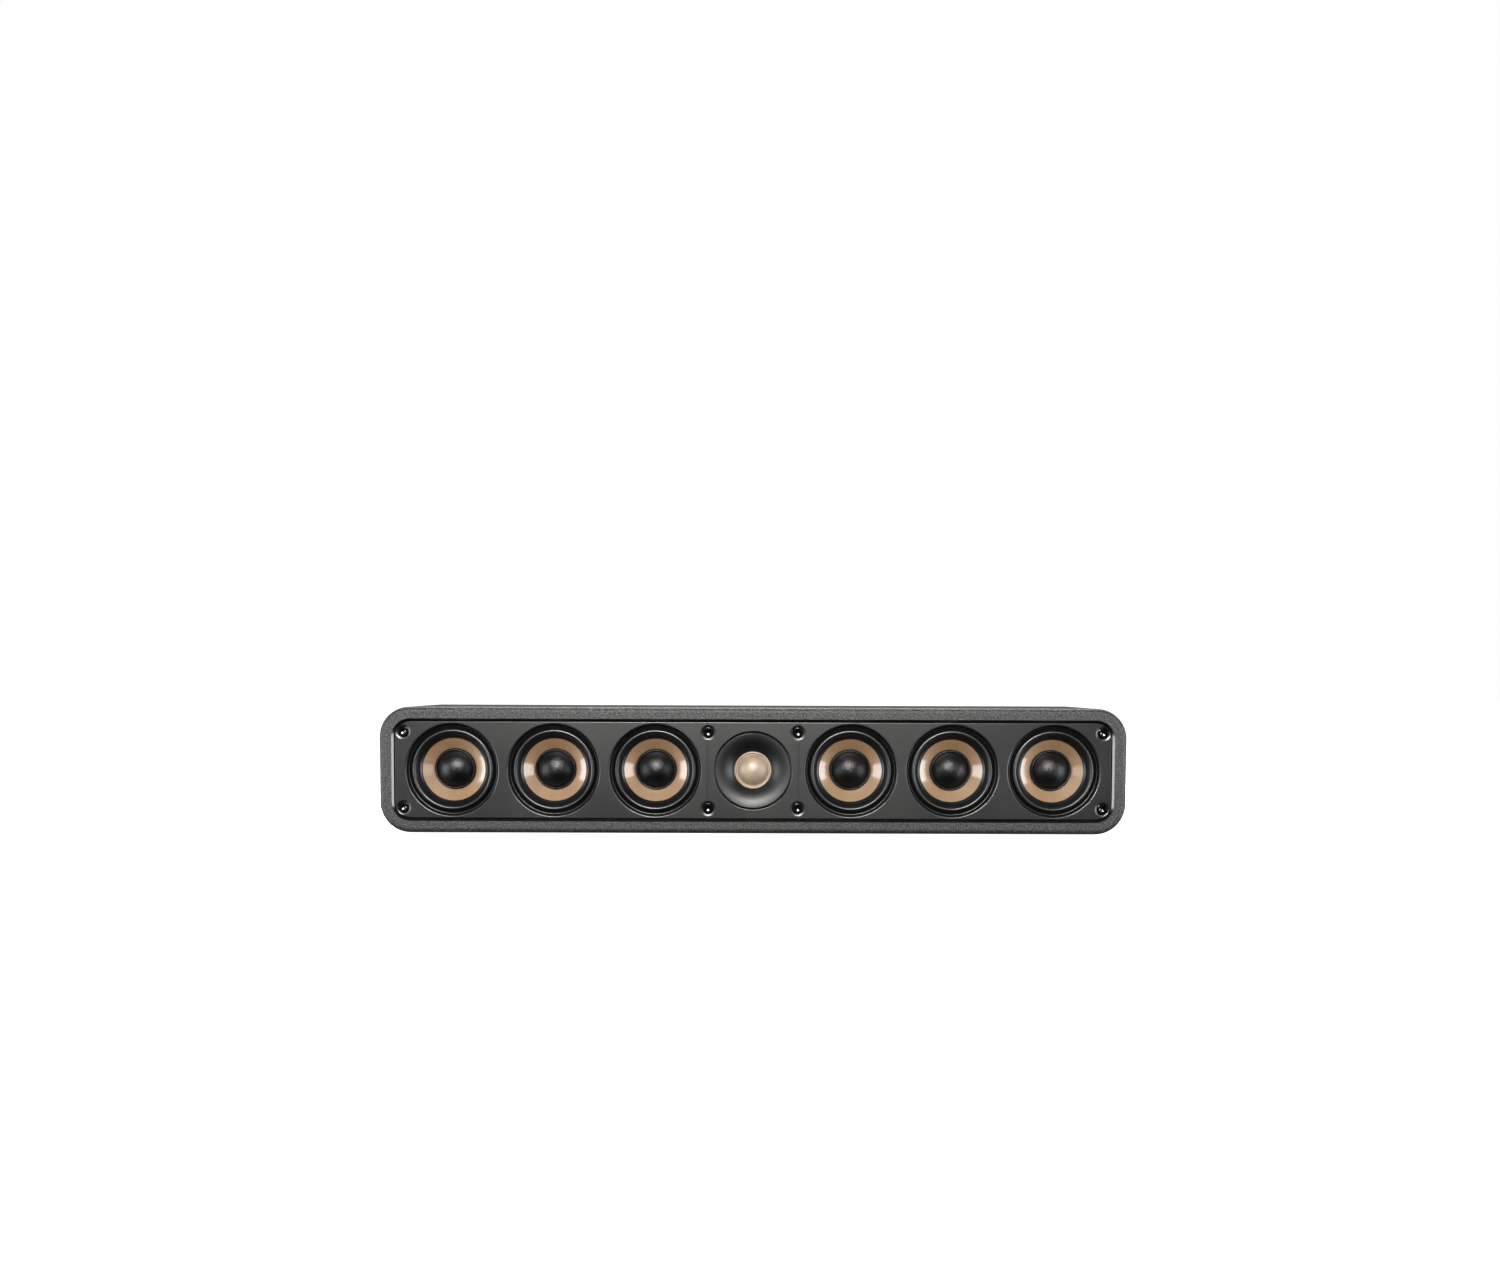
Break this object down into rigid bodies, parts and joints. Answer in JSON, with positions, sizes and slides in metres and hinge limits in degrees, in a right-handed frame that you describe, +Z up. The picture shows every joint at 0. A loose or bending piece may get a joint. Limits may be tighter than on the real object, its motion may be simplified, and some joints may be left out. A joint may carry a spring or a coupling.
{
  "type": "center channel speaker",
  "caption": "Long low loudspeaker with a row of small tan-coned woofers either side of a gold dome tweeter, set in dark grey trim panels in a rounded black cabinet.",
  "frame": {"origin": "centre of the footprint, on the surface that the rubber feet stand on", "axes": "+X along the cabinet, to the right seen from the front; the drivers face -Y; +Z up"},
  "size_m": [0.6108, 0.14, 0.104],
  "materials": {
    "baffle_paint": "textured black paint",
    "cabinet_wrap": "satin black wrap",
    "rear_board": "black painted board",
    "trim_satin": "satin dark grey",
    "black_screw": "black oxide",
    "waveguide_plastic": "satin black",
    "gold_dome": "gold coloured satin metal",
    "plated_steel": "zinc plated",
    "ferrite": "bare ferrite",
    "black_plastic": "moulded black",
    "gold_plate": "gold plated",
    "red_plastic": "moulded red",
    "knob_black": "moulded black",
    "zinc_steel": "zinc plated",
    "foot_rubber": "matte black",
    "circuit_board": "green board",
    "copper_wire": "enamelled copper",
    "capacitor_film": "wrapped film",
    "spider_cloth": "impregnated cloth",
    "basket_steel": "black painted steel",
    "surround_rubber": "satin black",
    "tan_cone": "satin tan",
    "dust_cap_black": "fine grained black"
  },
  "bodies": {
    "cabinet": {"front_baffle": "baffle_paint", "cabinet_shell": "cabinet_wrap", "rear_panel": "rear_board", "left_trim_panel": "trim_satin", "tweeter_trim_panel": "trim_satin", "right_trim_panel": "trim_satin", "trim_panel_screws": "black_screw", "driver_screws": "black_screw", "tweeter_faceplate": "waveguide_plastic", "tweeter_dome": "gold_dome", "tweeter_pole_plates": "plated_steel", "tweeter_magnet": "ferrite", "tweeter_rear_chamber": "black_plastic", "left_port_tube": "black_plastic", "right_port_tube": "black_plastic", "terminal_cup": "black_plastic", "binding_posts": "gold_plate", "left_keyhole_hanger": "zinc_steel", "right_keyhole_hanger": "zinc_steel", "rear_screws": "black_screw", "rubber_feet": "foot_rubber", "crossover_board": "circuit_board", "board_spacers": "black_plastic", "crossover_coils": "copper_wire", "crossover_capacitors": "capacitor_film", "woofer_magnets": "ferrite", "woofer_pole_plates": "plated_steel", "woofer_spiders": "spider_cloth", "woofer_1_basket": "basket_steel", "woofer_1_surround": "surround_rubber", "woofer_2_basket": "basket_steel", "woofer_2_surround": "surround_rubber", "woofer_3_basket": "basket_steel", "woofer_3_surround": "surround_rubber", "woofer_4_basket": "basket_steel", "woofer_4_surround": "surround_rubber", "woofer_5_basket": "basket_steel", "woofer_5_surround": "surround_rubber", "woofer_6_basket": "basket_steel", "woofer_6_surround": "surround_rubber"},
    "positive_knob": {"positive_post_knob": "red_plastic"},
    "negative_knob": {"negative_post_knob": "knob_black"},
    "woofer_1_diaphragm": {"woofer_1_cone": "tan_cone", "woofer_1_dust_cap": "dust_cap_black", "woofer_1_voice_coil": "copper_wire"},
    "woofer_2_diaphragm": {"woofer_2_cone": "tan_cone", "woofer_2_dust_cap": "dust_cap_black", "woofer_2_voice_coil": "copper_wire"},
    "woofer_3_diaphragm": {"woofer_3_cone": "tan_cone", "woofer_3_dust_cap": "dust_cap_black", "woofer_3_voice_coil": "copper_wire"},
    "woofer_4_diaphragm": {"woofer_4_cone": "tan_cone", "woofer_4_dust_cap": "dust_cap_black", "woofer_4_voice_coil": "copper_wire"},
    "woofer_5_diaphragm": {"woofer_5_cone": "tan_cone", "woofer_5_dust_cap": "dust_cap_black", "woofer_5_voice_coil": "copper_wire"},
    "woofer_6_diaphragm": {"woofer_6_cone": "tan_cone", "woofer_6_dust_cap": "dust_cap_black", "woofer_6_voice_coil": "copper_wire"}
  },
  "joints": [
    {"name": "woofer_1_travel", "type": "slide", "parent": "cabinet", "child": "woofer_1_diaphragm", "axis": [0, -1, 0], "range_m": [-0.002, 0.002], "stiffness_N_per_m": 1250, "deforming": ["woofer_1_surround", "woofer_spiders"]},
    {"name": "woofer_2_travel", "type": "slide", "parent": "cabinet", "child": "woofer_2_diaphragm", "axis": [0, -1, 0], "range_m": [-0.002, 0.002], "stiffness_N_per_m": 1250, "deforming": ["woofer_2_surround"]},
    {"name": "woofer_3_travel", "type": "slide", "parent": "cabinet", "child": "woofer_3_diaphragm", "axis": [0, -1, 0], "range_m": [-0.002, 0.002], "stiffness_N_per_m": 1250, "deforming": ["woofer_3_surround"]},
    {"name": "woofer_4_travel", "type": "slide", "parent": "cabinet", "child": "woofer_4_diaphragm", "axis": [0, -1, 0], "range_m": [-0.002, 0.002], "stiffness_N_per_m": 1250, "deforming": ["woofer_4_surround"]},
    {"name": "woofer_5_travel", "type": "slide", "parent": "cabinet", "child": "woofer_5_diaphragm", "axis": [0, -1, 0], "range_m": [-0.002, 0.002], "stiffness_N_per_m": 1250, "deforming": ["woofer_5_surround"]},
    {"name": "woofer_6_travel", "type": "slide", "parent": "cabinet", "child": "woofer_6_diaphragm", "axis": [0, -1, 0], "range_m": [-0.002, 0.002], "stiffness_N_per_m": 1250, "deforming": ["woofer_6_surround"]},
    {"name": "positive_knob_turn", "type": "hinge", "parent": "cabinet", "child": "positive_knob", "pos_m": [0.012, 0.06, 0.0525], "axis": [0, 1, 0], "range_deg": [-720, 0]},
    {"name": "negative_knob_turn", "type": "hinge", "parent": "cabinet", "child": "negative_knob", "pos_m": [-0.012, 0.06, 0.0525], "axis": [0, 1, 0], "range_deg": [-720, 0]}
  ]
}
